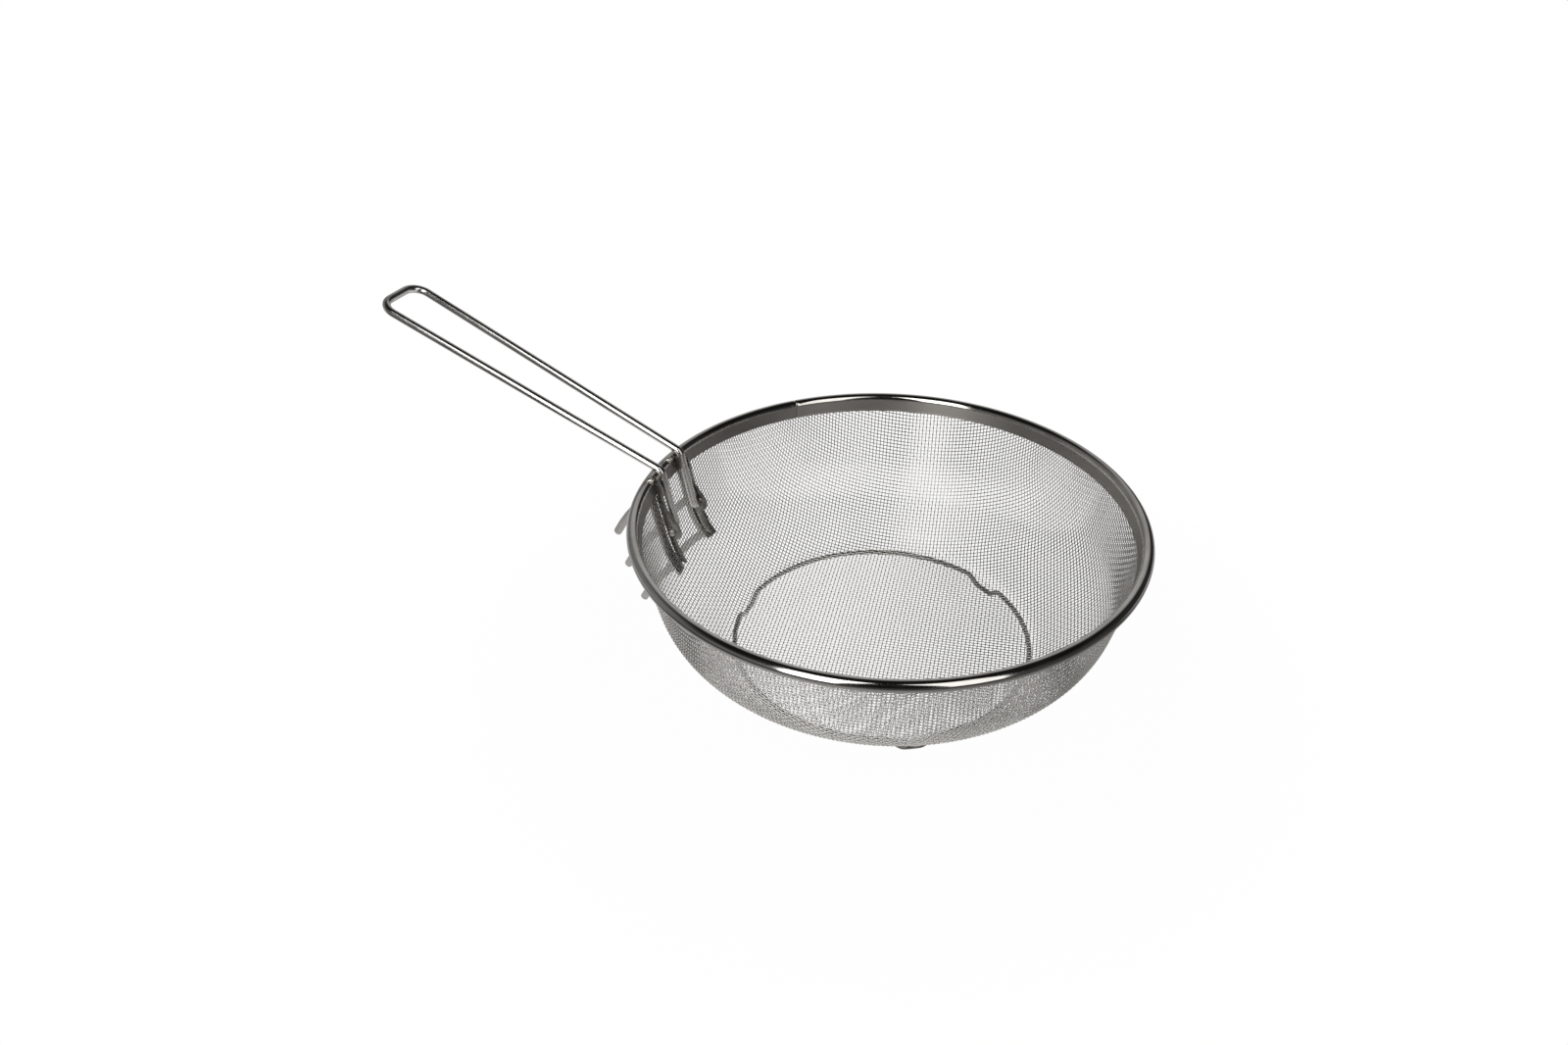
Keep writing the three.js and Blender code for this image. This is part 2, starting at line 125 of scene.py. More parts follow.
# camera, from a fit of the rim, the base ring and the handle to the photograph
view = dict(
    lens=26.727,
    sensor=36.0,
    turn=23.0,
    elevation=33.711,
    distance=0.537886,
    aside=-0.047601,
    above=-0.0047533,
    roll=0.5386,
    nearest=0.01,
)


def makeCamera():
    elevation, turn, roll = (math.radians(view[key]) for key in ("elevation", "turn", "roll"))
    right = Vector((1, 0, 0))
    up = Vector((0, math.sin(elevation), math.cos(elevation)))
    back = Vector((0, -math.cos(elevation), math.sin(elevation)))
    where = right * view["aside"] + up * view["above"] + back * view["distance"]
    rolledRight = right * math.cos(roll) - up * math.sin(roll)
    rolledUp = right * math.sin(roll) + up * math.cos(roll)
    spin = Matrix.Rotation(turn, 3, "Z")
    axes = Matrix((rolledRight, rolledUp, back)).transposed()
    data = bpy.data.cameras.new("camera")
    data.lens, data.sensor_width, data.sensor_fit = view["lens"], view["sensor"], "HORIZONTAL"
    data.clip_start = view["nearest"]
    camera = bpy.data.objects.new("camera", data)
    scene.collection.objects.link(camera)
    matrix = (spin @ axes).to_4x4()
    matrix.translation = spin @ where + Vector((place["axisX"], 0, place["rimTop"]))
    camera.matrix_world = matrix
    scene.camera = camera


makeCamera()
print("camera placed")


# finishes

wovenFinish = dict(
    dark=(0.51, 0.495, 0.47),
    pale=(0.64, 0.625, 0.60),
    rough=(0.09, 0.17),
    patch=60.0,
    fine=900.0,
    shares=(0.7, 0.3),
    span=(0.3, 0.7),
)


def makeWovenSteel():
    # bright drawn wire, a little duller in patches where the cloth was drawn hardest
    material, start = newMaterial("wovenSteel")
    where = objectPlace(start)
    patch = noise(start, where, wovenFinish["patch"])
    fine = noise(start, where, wovenFinish["fine"], detail=1.0)
    patchShare, fineShare = wovenFinish["shares"]
    tone = (patch * patchShare + fine * fineShare).mapped(*wovenFinish["span"])
    finishMaterial(
        start,
        {
            "Base Color": tone.between(wovenFinish["dark"], wovenFinish["pale"]),
            "Metallic": 1.0,
            "Roughness": patch.mapped(*wovenFinish["span"], *wovenFinish["rough"]),
        },
    )
    return material


rimFinish = dict(
    dark=(0.50, 0.48, 0.45),
    pale=(0.66, 0.64, 0.61),
    rough=(0.07, 0.13),
    span=(0.35, 0.65),
    leaf=(0.31, 0.295, 0.275),  # the leaf is left satin and is given a darker colour, painted shade; it starts just under the bead's top
    leafFrom=(0.0031, 0.0018),
    satin=0.30,
    streaks=700.0,
    streakRound=9.0,
    smear=45.0,
    scratch=0.25,
    toneShares=(0.6, 0.4),
    roughShares=(0.5, 0.3, 0.2),
    bump=0.004,
    bumpHeight=0.0002,
)


def makeRimSteel():
    # rolled and polished strip: faint lines run round the rim, and smears lie over them
    material, start = newMaterial("rimSteel")
    where = objectPlace(start)
    parts = split(start, where)
    east, north, high = parts.part(0) - place["axisX"], parts.part(1), parts.part(2)
    angle = start.maths("ARCTAN2", north, east)
    reach = start.maths("SQRT", east * east + north * north)
    streaks = rimFinish["streaks"]
    along = angle * rimFinish["streakRound"]
    lineUp = start.make("ShaderNodeCombineXYZ", {}, {0: along, 1: reach * streaks, 2: high * streaks})
    lines = noise(start, lineUp, 1.0, detail=2.0)
    smear = noise(start, where, rimFinish["smear"], detail=4.0)
    scratch = noise(start, lineUp, rimFinish["scratch"], detail=5.0, roughness=0.7)
    smearTone, linesTone = rimFinish["toneShares"]
    smearRough, linesRough, scratchRough = rimFinish["roughShares"]
    tone = (smear * smearTone + lines * linesTone).mapped(*rimFinish["span"])
    rough = smear * smearRough + lines * linesRough + scratch * scratchRough
    # below the bead the leaf gets a darker colour, painted shade, besides its satin roughness
    leaf = high.mapped(*(place["rimTop"] - depth for depth in rimFinish["leafFrom"]), 1.0, 0.0)
    polished = tone.between(rimFinish["dark"], rimFinish["pale"])
    bump = start.make(
        "ShaderNodeBump",
        {},
        {"Strength": rimFinish["bump"], "Distance": rimFinish["bumpHeight"], "Height": lines},
    )
    finishMaterial(
        start,
        {
            "Base Color": leaf.between(polished, rimFinish["leaf"]),
            "Metallic": 1.0,
            "Roughness": rough.mapped(*rimFinish["span"], *rimFinish["rough"]) + leaf * rimFinish["satin"],
            "Normal": bump,
        },
    )
    return material


wireFinish = dict(dark=(0.62, 0.605, 0.58), pale=(0.76, 0.745, 0.72), rough=(0.16, 0.24), bump=0.003)
# the base ring's colours are painted shade: the same drawn wire steel, made far darker
ringShadeFinish = dict(dark=(0.09, 0.086, 0.079), pale=(0.25, 0.239, 0.224), rough=(0.10, 0.20), bump=0.004)
wireGrain = dict(patch=70.0, fine=1500.0, shares=(0.75, 0.25), span=(0.3, 0.7), bumpHeight=0.0001)


def makeWireSteel(name, finish):
    # drawn wire with a fine grain and dull patches; the base ring's copy is given a far darker colour,
    # painted shade
    material, start = newMaterial(name)
    where = objectPlace(start)
    patch = noise(start, where, wireGrain["patch"], detail=4.0)
    fine = noise(start, where, wireGrain["fine"], detail=2.0)
    patchShare, fineShare = wireGrain["shares"]
    tone = (patch * patchShare + fine * fineShare).mapped(*wireGrain["span"])
    bump = start.make(
        "ShaderNodeBump",
        {},
        {"Strength": finish["bump"], "Distance": wireGrain["bumpHeight"], "Height": fine},
    )
    finishMaterial(
        start,
        {
            "Base Color": tone.between(finish["dark"], finish["pale"]),
            "Metallic": 1.0,
            "Roughness": patch.mapped(*wireGrain["span"], *finish["rough"]),
            "Normal": bump,
        },
    )
    return material


sheetFinish = dict(
    dark=(0.27, 0.26, 0.243),
    pale=(0.46, 0.445, 0.42),
    rough=(0.22, 0.38),
    roughSpan=(0.3, 0.75),
    patch=110.0,
    grain=2400.0,
    shares=(0.7, 0.3),
    span=(0.3, 0.7),
    bump=0.08,
    bumpHeight=0.0002,
)
weldMarks = dict(
    depths=(0.012, 0.026, 0.040),
    aside=0.0185,
    fade=(0.00112, 0.00304),
    tint=(0.29, 0.23, 0.16),
    tinted=0.7,
    sunk=0.8,
    dulled=0.15,
)


def makeSheetSteel():
    # stamped sheet with a tumbled surface, and a straw tint round each spot weld
    material, start = newMaterial("sheetSteel")
    where = objectPlace(start)
    patch = noise(start, where, sheetFinish["patch"], detail=4.0)
    grain = noise(start, where, sheetFinish["grain"], detail=2.0)
    parts = split(start, where)
    aside = start.maths("ABSOLUTE", parts.part(1)) - weldMarks["aside"]
    marks = []
    for depth in weldMarks["depths"]:
        drop = parts.part(2) - (place["rimTop"] - depth)
        spread = start.maths("SQRT", aside * aside + drop * drop)
        marks.append(spread.mapped(*weldMarks["fade"], 1.0, 0.0))
    heat = sum(marks[1:], marks[0])
    patchShare, grainShare = sheetFinish["shares"]
    tone = (patch * patchShare + grain * grainShare).mapped(*sheetFinish["span"])
    base = tone.between(sheetFinish["dark"], sheetFinish["pale"])
    dull = patch + heat * weldMarks["dulled"]
    bump = start.make(
        "ShaderNodeBump",
        {},
        {
            "Strength": sheetFinish["bump"],
            "Distance": sheetFinish["bumpHeight"],
            "Height": grain - heat * weldMarks["sunk"],
        },
    )
    finishMaterial(
        start,
        {
            "Base Color": (heat * weldMarks["tinted"]).between(base, weldMarks["tint"]),
            "Metallic": 1.0,
            "Roughness": dull.mapped(*sheetFinish["roughSpan"], *sheetFinish["rough"]),
            "Normal": bump,
        },
    )
    return material


wovenSteel = makeWovenSteel()
rimSteel = makeRimSteel()
wireSteel = makeWireSteel("wireSteel", wireFinish)
shadedRingSteel = makeWireSteel("shadedRingSteel", ringShadeFinish)
sheetSteel = makeSheetSteel()
print("finishes made")


def meshObject(name, points, faces, material, uv=None):
    mesh = bpy.data.meshes.new(name)
    points, faces = np.asarray(points, np.float32), np.asarray(faces, np.int32)
    mesh.vertices.add(len(points))
    mesh.vertices.foreach_set("co", points.ravel())
    mesh.loops.add(faces.size)
    mesh.loops.foreach_set("vertex_index", faces.ravel())
    mesh.polygons.add(len(faces))
    mesh.polygons.foreach_set("loop_start", np.arange(len(faces), dtype=np.int32) * faces.shape[1])
    mesh.polygons.foreach_set("use_smooth", np.ones(len(faces), bool))
    mesh.update(calc_edges=True)
    if uv is not None:
        layer = mesh.uv_layers.new(name="OFBake")
        layer.data.foreach_set("uv", np.asarray(uv, np.float32).ravel())
    mesh.validate()
    mesh.materials.append(material)
    obj = bpy.data.objects.new(name, mesh)
    scene.collection.objects.link(obj)
    return obj


def addPiece(obj, body, slot, *replaced):
    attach(obj, body)
    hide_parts(*replaced)
    return obj


def inFrame(points):
    # from places about the bowl's axis, with depths below the rim, to the shared frame
    moved = np.array(points, float)
    moved[:, 0] += place["axisX"]
    moved[:, 2] = place["rimTop"] - moved[:, 2]
    return moved


# woven bowl: the cloth is laid over the bowl's form as a net of equal cells

bowlMesh = dict(
    wire=0.000225,
    pitch=0.0019,
    turn=10.0,
    sides=6,
    topRadius=0.116,
    topDepth=0.0034,
    wallLean=13.0,
    shoulderDepth=0.046,
    baseRadius=0.0745,
    baseDepth=0.0723,
    shoulder=0.013,
    baseCurve=0.005,
    lineStep=0.0005,
    curveSteps=40,
    beyond=0.03,  # the net is laid past the top edge, and then cut there
    normalReach=0.0006,
    bakeStrip=0.9,
)


def bowlLine():
    # radius and depth by distance from the middle of the base
    top = np.array([bowlMesh["topRadius"], bowlMesh["topDepth"]])
    foot = np.array([bowlMesh["baseRadius"], bowlMesh["baseDepth"]])
    lean = math.radians(bowlMesh["wallLean"])
    wallWay = np.array([-math.sin(lean), math.cos(lean)])
    corner = top + wallWay * (bowlMesh["shoulderDepth"] - top[1]) / wallWay[1]
    coneWay = (foot - corner) / np.linalg.norm(foot - corner)
    share = np.linspace(0, 1, bowlMesh["curveSteps"] + 1)[:, None]

    def straight(a, b):
        count = max(2, int(np.linalg.norm(b - a) / bowlMesh["lineStep"]))
        return a + (b - a) * np.linspace(0, 1, count)[:, None]

    def curve(a, control, b):
        return (1 - share) ** 2 * a + 2 * share * (1 - share) * control + share**2 * b

    baseEnd = foot - np.array([bowlMesh["baseCurve"], 0])
    coneStart = foot - coneWay * bowlMesh["baseCurve"]
    coneEnd = corner + coneWay * bowlMesh["shoulder"]
    wallStart = corner - wallWay * bowlMesh["shoulder"]
    beyond = top - wallWay * bowlMesh["beyond"]
    line = [
        straight(np.array([0, foot[1]]), baseEnd),
        curve(baseEnd, foot, coneStart)[1:],
        straight(coneStart, coneEnd)[1:],
        curve(coneEnd, corner, wallStart)[1:],
        straight(wallStart, top)[1:],
    ]
    edge = sum(np.linalg.norm(np.diff(np.vstack(line), axis=0), axis=1))
    line = np.vstack([*line, straight(top, beyond)[1:]])
    steps = np.concatenate([[0], np.cumsum(np.linalg.norm(np.diff(line, axis=0), axis=1))])
    return steps, line, edge


lineSteps, linePoints, lineEdge = bowlLine()


def onBowl(flat):
    # a place on the bowl from flat coordinates, whose length is the distance from the middle
    far = np.linalg.norm(flat, axis=-1)
    way = flat / np.maximum(far, 1e-12)[..., None]
    radius = np.interp(far, lineSteps, linePoints[:, 0])
    depth = np.interp(far, lineSteps, linePoints[:, 1])
    return np.concatenate([way * radius[..., None], depth[..., None]], axis=-1)


def bowlNormals(flat):
    # normals that point into the bowl
    far = np.linalg.norm(flat, axis=-1)
    way = flat / np.maximum(far, 1e-12)[..., None]
    reach = bowlMesh["normalReach"]
    ahead, behind = (np.clip(far + step, 0, lineSteps[-1]) for step in (reach, -reach))
    alongRadius, alongDepth = (
        np.interp(ahead, lineSteps, line) - np.interp(behind, lineSteps, line) for line in linePoints.T
    )
    size = np.hypot(alongRadius, alongDepth)
    inward = alongDepth / size
    upward = -alongRadius / size
    return np.concatenate([way * inward[..., None], upward[..., None]], axis=-1)


net = dict(rounds=8, probe=1e-6, stride=0.6, slack=0.05, tiny=1e-14)


def nextKnots(placeA, placeB, guess):
    # by Newton's method, the places one pitch from two known knots
    pitch, probe = bowlMesh["pitch"], net["probe"]
    for _ in range(net["rounds"]):
        here = onBowl(guess)
        slopeX = (onBowl(guess + (probe, 0)) - here) / probe
        slopeY = (onBowl(guess + (0, probe)) - here) / probe
        offA, offB = here - placeA, here - placeB
        missA = (offA**2).sum(1) - pitch**2
        missB = (offB**2).sum(1) - pitch**2
        aX, aY = 2 * (offA * slopeX).sum(1), 2 * (offA * slopeY).sum(1)
        bX, bY = 2 * (offB * slopeX).sum(1), 2 * (offB * slopeY).sum(1)
        det = aX * bY - aY * bX
        det = np.where(np.abs(det) < net["tiny"], net["tiny"], det)
        change = np.stack([(missA * bY - missB * aY) / det, (aX * missB - bX * missA) / det], axis=1)
        size = np.linalg.norm(change, axis=1, keepdims=True)
        guess = guess - change * np.minimum(1, net["stride"] * pitch / np.maximum(size, 1e-12))
    miss = np.abs(np.linalg.norm(onBowl(guess) - placeA, axis=1) - pitch)
    far = np.linalg.norm(guess, axis=1)
    fine = (miss < net["slack"] * pitch) & (far < lineSteps[-1] - pitch)
    guess[~fine] = np.nan
    return guess


def layQuarter(flat, reach, signA, signB):
    # fills one quarter of the net, one diagonal after another
    for ring in range(2, 2 * reach + 1):
        i = np.arange(max(1, ring - reach), min(reach, ring - 1) + 1)
        rowI, rowJ = reach + signA * i, reach + signB * (ring - i)
        knotA, knotB = flat[rowI - signA, rowJ], flat[rowI, rowJ - signB]
        corner = flat[rowI - signA, rowJ - signB]
        good = ~np.isnan(knotA[:, 0]) & ~np.isnan(knotB[:, 0]) & ~np.isnan(corner[:, 0])
        if not good.any():
            break
        knotA, knotB, corner = knotA[good], knotB[good], corner[good]
        knots = nextKnots(onBowl(knotA), onBowl(knotB), knotA + knotB - corner)
        flat[rowI[good], rowJ[good]] = knots


def layNet():
    # each knot is one pitch from two earlier knots, so the cloth shears and doesn't stretch
    pitch = bowlMesh["pitch"]
    reach = int(lineSteps[-1] / pitch)
    flat = np.full((2 * reach + 1, 2 * reach + 1, 2), np.nan)
    for k in range(-reach, reach + 1):
        flat[reach + k, reach] = (k * pitch, 0)
        flat[reach, reach + k] = (0, k * pitch)
    for signA in (1, -1):
        for signB in (1, -1):
            layQuarter(flat, reach, signA, signB)
    return flat


def clippedThread(flat, over):
    # the part of a thread that lies below the cloth's top edge, with its ends on that edge
    far = np.linalg.norm(flat, axis=1)
    inside = np.where(far <= lineEdge)[0]
    if len(inside) < 2:
        return None
    first, last = inside[0], inside[-1]
    keep = flat[first : last + 1]
    lift = over[first : last + 1]
    for end, beyond in ((0, first - 1), (-1, last + 1)):
        if 0 <= beyond < len(flat) and not np.isnan(flat[beyond, 0]):
            nearFar, outFar = np.linalg.norm(keep[end]), far[beyond]
            share = (lineEdge - nearFar) / max(outFar - nearFar, 1e-9)
            tip = keep[end] + (flat[beyond] - keep[end]) * share
            parts = (tip[None], keep) if end == 0 else (keep, tip[None])
            lifts = ([0.0], lift) if end == 0 else (lift, [0.0])
            keep, lift = np.concatenate(parts), np.concatenate(lifts)
    return keep, lift


def threadTube(flat, lift, sides):
    turn = math.radians(bowlMesh["turn"])
    spin = np.array([[math.cos(turn), math.sin(turn)], [-math.sin(turn), math.cos(turn)]])
    flat = flat @ spin
    normal = bowlNormals(flat)
    # over and under at alternate knots, by one radius of the wire
    centre = inFrame(onBowl(flat) - normal * (lift * bowlMesh["wire"])[:, None])
    outward = normal * np.array([-1, -1, 1])  # in the frame, heights take the place of depths
    along = np.gradient(centre, axis=0)
    along /= np.linalg.norm(along, axis=1, keepdims=True)
    outward -= along * (outward * along).sum(1, keepdims=True)
    outward /= np.linalg.norm(outward, axis=1, keepdims=True)
    aside = np.cross(along, outward)
    angles = np.arange(sides) / sides * 2 * math.pi
    ring = outward[:, None] * np.cos(angles)[None, :, None] + aside[:, None] * np.sin(angles)[None, :, None]
    return (centre[:, None] + ring * bowlMesh["wire"]).reshape(-1, 3)


def makeThreads(name, threads):
    sides = bowlMesh["sides"]
    points, faces, uvs, offset = [], [], [], 0
    for row, (flat, lift) in enumerate(threads):
        tube = threadTube(flat, lift, sides)
        count = len(flat)
        i = np.repeat(np.arange(count - 1), sides)
        k = np.tile(np.arange(sides), count - 1)
        nextK = (k + 1) % sides
        here, ahead = i * sides, (i + 1) * sides
        quads = np.stack([here + k, here + nextK, ahead + nextK, ahead + k], axis=1)
        low, high = i / (count - 1), (i + 1) / (count - 1)
        # each thread has its own strip of the bake map, with a gap beside it
        strip = bowlMesh["bakeStrip"]
        left, right = ((row + strip * edge / sides) / len(threads) for edge in (k, k + 1))
        uv = np.stack([low, left, low, right, high, right, high, left], axis=1).reshape(-1, 2)
        points.append(tube)
        faces.append(quads + offset)
        uvs.append(uv)
        offset += len(tube)
    obj = meshObject(name, np.vstack(points), np.vstack(faces), wovenSteel, np.vstack(uvs))
    return addPiece(obj, "basket", "mesh_steel", "mesh_bowl")


def makeWeave():
    knots = layNet()
    count = len(knots)
    parity = np.where((np.arange(count)[:, None] + np.arange(count)[None, :]) % 2 == 0, 1.0, -1.0)
    families = {"warp": [], "weft": []}
    for row in range(count):
        for family, flat, over in (
            ("warp", knots[row], parity[row]),
            ("weft", knots[:, row], -parity[:, row]),
        ):
            thread = clippedThread(flat, over)
            if thread is not None:
                families[family].append(thread)
    for family, threads in families.items():
        half = len(threads) // 2
        makeThreads(family + "WiresA", threads[:half])
        makeThreads(family + "WiresB", threads[half:])
        print(family, "wires:", len(threads), "knots:", sum(len(t[0]) for t in threads))


makeWeave()
print("woven bowl made")


# rim: a bead rolled over a wire, with a flat leaf down the inside and a butt seam

rim = dict(
    bead=0.0027,
    sheet=0.0006,
    leafDepth=0.0085,
    leafEnds=(0.0004, 0.0002),  # kept clear at the lip and at the bead
    leafSteps=8,
    lipRound=0.3,
    returnAngle=250.0,
    arcSteps=30,
    lean=13.0,
    segments=288,
    seamAt=133.5,
    seamWidth=0.0005,
    seamDepth=0.00025,
    seamSpread=1.2,
    seamSteps=(0, 0.5, 1, 2.5, 5),  # in widths of the seam, to each side of it
    seamClear=6,
    beadFrom=0.9,  # nearer the bead's middle than this share is its inside, which has no groove
)


def makeRim():
    centre, bead, sheet = place["rimRadius"] - rim["bead"], rim["bead"], rim["sheet"]
    lean = math.tan(math.radians(rim["lean"]))
    innerFace = centre - bead

    def arc(radius):
        steps = rim["arcSteps"]
        angles = [math.radians(180 - rim["returnAngle"] * step / steps) for step in range(steps + 1)]
        return [(centre + radius * math.cos(angle), bead - radius * math.sin(angle)) for angle in angles]

    leafEnd = innerFace - (rim["leafDepth"] - bead) * lean
    lipRound = sheet * rim["lipRound"]
    lip = [
        (leafEnd + sheet, rim["leafDepth"] - lipRound),
        (leafEnd + sheet - lipRound, rim["leafDepth"]),
        (leafEnd + lipRound, rim["leafDepth"]),
        (leafEnd, rim["leafDepth"] - lipRound),
    ]
    # the leaf meets the bead in a soft bend
    lipGap, beadGap = rim["leafEnds"]
    leafDepths = np.linspace(rim["leafDepth"] - lipGap, bead + beadGap, rim["leafSteps"])
    leaf = [(innerFace - (depth - bead) * lean, depth) for depth in leafDepths]
    inside = list(reversed(arc(bead - sheet)))
    profile = np.array(lip + leaf + arc(bead) + inside)
    seam = math.radians(rim["seamAt"])
    spread = rim["seamWidth"] / place["rimRadius"]

    def fromSeam(angles):
        # in widths of the seam
        return np.abs((angles - seam + math.pi) % (2 * math.pi) - math.pi) / spread

    # closer steps at the seam, where the strip's ends meet in a shallow groove
    angles = np.arange(rim["segments"]) / rim["segments"] * 2 * math.pi
    angles = angles[fromSeam(angles) > rim["seamClear"]]
    extra = [seam + side * step * spread for step in rim["seamSteps"] for side in (-1, 1)]
    angles = np.unique(np.concatenate([angles, extra]))
    pinch = np.clip(rim["seamSpread"] - fromSeam(angles), 0, 1) * rim["seamDepth"]
    toMiddle = np.array([centre, bead]) - profile
    size = np.linalg.norm(toMiddle, axis=1, keepdims=True)
    inward = toMiddle / np.maximum(size, 1e-9) * (size > bead * rim["beadFrom"])
    rings = []
    for angle, notch in zip(angles, pinch):
        radius, depth = (profile + inward * notch).T
        rings.append(np.stack([radius * math.cos(angle), radius * math.sin(angle), depth], axis=1))
    count, wide = len(rings), len(profile)
    points = inFrame(np.vstack(rings))
    i = np.repeat(np.arange(count), wide)
    k = np.tile(np.arange(wide), count)
    nextI, nextK = (i + 1) % count, (k + 1) % wide
    faces = np.stack([i * wide + k, nextI * wide + k, nextI * wide + nextK, i * wide + nextK], axis=1)
    obj = meshObject("rimBand", points, faces[:, ::-1], rimSteel)
    return addPiece(obj, "basket", "rim_steel", "rim_band")


makeRim()
nodes["rim_core_wire"].data.materials.clear()
nodes["rim_core_wire"].data.materials.append(wireSteel)
print("rim made")


wireEnds = dict(lengths=(0.15, 0.35), sizes=(0.72, 0.92))  # shares of the wire's radius


def wireTube(name, points, radius, sides, material, closed=False):
    # a round wire along points in the shared frame, its ends eased over a short chamfer
    points = np.asarray(points, float)
    if closed:
        along = np.roll(points, -1, axis=0) - np.roll(points, 1, axis=0)
    else:
        along = np.gradient(points, axis=0)
    along /= np.linalg.norm(along, axis=1, keepdims=True)
    across = np.zeros_like(points)
    for i in range(len(points)):
        if closed or i == 0:
            step = np.cross(along[i], (0, 0, 1))
        else:
            step = across[i - 1] - along[i] * np.dot(across[i - 1], along[i])
        across[i] = step / np.linalg.norm(step)
    over = np.cross(along, across)
    radii = np.full(len(points), radius)
    if not closed:
        inset = radius * np.array([0.0, *wireEnds["lengths"]])[:, None]
        size = np.array([*wireEnds["sizes"], 1])
        head = points[0] + along[0] * inset
        tail = points[-1] - along[-1] * inset[::-1]
        points = np.vstack([head, points[1:-1], tail])
        radii = np.concatenate([size, np.ones(len(points) - 2 * len(size)), size[::-1]]) * radius
        across = np.vstack([across[[0, 0, 0]], across[1:-1], across[[-1, -1, -1]]])
        over = np.vstack([over[[0, 0, 0]], over[1:-1], over[[-1, -1, -1]]])
    angles = np.arange(sides) / sides * 2 * math.pi
    ring = across[:, None] * np.cos(angles)[None, :, None] + over[:, None] * np.sin(angles)[None, :, None]
    tube = (points[:, None] + ring * radii[:, None, None]).reshape(-1, 3)
    count = len(points)
    bands = count if closed else count - 1
    i = np.repeat(np.arange(bands), sides)
    k = np.tile(np.arange(sides), bands)
    nextI, nextK = (i + 1) % count, (k + 1) % sides
    here, ahead = i * sides, nextI * sides
    quads = np.stack([here + k, here + nextK, ahead + nextK, ahead + k], axis=1)
    if not closed:
        # each end is closed by a fan of quads round its middle
        base = len(tube)
        tube = np.vstack([tube, points[0], points[-1]])
        for middle, row in ((base, 0), (base + 1, count - 1)):
            edge = np.arange(0, sides, 2)
            hub = np.full_like(edge, middle)
            first = row * sides
            fan = np.stack([hub, first + (edge + 2) % sides, first + edge + 1, first + edge], axis=1)
            quads = np.vstack([quads, fan if row == 0 else fan[:, ::-1]])
    return meshObject(name, tube, quads, material)


# base ring: one wire under the cloth, bent down into feet

ring = dict(
    wire=0.00125,
    radius=0.0726,
    depth=0.07425,
    drop=0.0045,
    flat=0.007,
    slope=0.008,
    feet=3,
    steps=360,
    sides=14,
)


def makeBaseRing():
    angles = np.arange(ring["steps"]) / ring["steps"] * 2 * math.pi
    spacing = 2 * math.pi / ring["feet"]
    fromFoot = np.abs((angles - math.pi + spacing / 2) % spacing - spacing / 2) * ring["radius"]
    share = np.clip((ring["flat"] / 2 + ring["slope"] - fromFoot) / ring["slope"], 0, 1)
    share = share * share * (3 - 2 * share)
    depth = ring["depth"] + ring["drop"] * share
    points = np.stack([ring["radius"] * np.cos(angles), ring["radius"] * np.sin(angles), depth], axis=1)
    obj = wireTube("baseRing", inFrame(points), ring["wire"], ring["sides"], shadedRingSteel, closed=True)
    return addPiece(obj, "basket", "wire_steel", "base_ring")


makeBaseRing()
print("base ring made")


# handle: one wire that starts and ends as a pin in an ear

handle = dict(
    wire=0.002,
    spacing=0.020,
    endSpacing=0.028,
    reach=0.262,
    rise=23.0,
    endCurve=0.008,
    rimCurve=0.004,
    pinCurve=0.003,
    cornerReach=0.1119,
    pivotReach=0.1055,
    pivotDepth=0.029,
    pinEnd=0.01705,
    lift=0.0067,
    beadReach=0.1173,
    beadDepth=0.0027,
    sides=22,
    bendSteps=14,
    stride=0.008,  # longest step along a straight stretch
)


def bentLine(corners, bends):
    # straight stretches between corners, each corner rounded by its own bend
    steps = handle["bendSteps"]
    corners = [np.array(c, float) for c in corners]
    points = [corners[0]]
    for before, corner, after, bend in zip(corners, corners[1:], corners[2:], bends):
        into = corner - before
        out = after - corner
        into, out = into / np.linalg.norm(into), out / np.linalg.norm(out)
        turn = math.acos(np.clip(np.dot(into, out), -1, 1))
        start = corner - into * bend * math.tan(turn / 2)
        side = out - into * np.dot(into, out)
        side = side / np.linalg.norm(side)
        straightTo = start - points[-1]
        pieces = max(1, int(np.linalg.norm(straightTo) / handle["stride"]))
        points += [points[-1] + straightTo * k / pieces for k in range(1, pieces)]
        for step in range(steps + 1):
            angle = turn * step / steps
            points.append(start + into * bend * math.sin(angle) + side * bend * (1 - math.cos(angle)))
    points.append(corners[-1])
    return np.array(points)


def makeHandle():
    rise = math.radians(handle["rise"])
    restReach = handle["beadReach"] - handle["lift"] * math.sin(rise)
    restDepth = handle["beadDepth"] - handle["lift"] * math.cos(rise)

    def armDepth(reach):
        return restDepth - (reach - restReach) * math.tan(rise)

    aside, endAside = handle["spacing"] / 2, handle["endSpacing"] / 2

    def half(side):
        return [
            (-handle["pivotReach"], side * handle["pinEnd"], handle["pivotDepth"]),
            (-handle["pivotReach"], side * aside, handle["pivotDepth"]),
            (-handle["cornerReach"], side * aside, armDepth(handle["cornerReach"])),
            (-handle["reach"], side * endAside, armDepth(handle["reach"])),
        ]

    corners = half(-1) + list(reversed(half(1)))
    bends = [handle["pinCurve"], handle["rimCurve"], handle["endCurve"]]
    line = bentLine(corners, bends + list(reversed(bends)))
    obj = wireTube("handleWire", inFrame(line), handle["wire"], handle["sides"], wireSteel)
    return addPiece(obj, "handle", "wire_steel", "handle_wire")


makeHandle()
print("handle made")


# bracket: stamped ears inside the wall and hook plates outside it, with broken edges

bracket = dict(edge=0.00028, steps=2, merge=1e-6, flatWithin=1.0, sharpFrom=40.0)


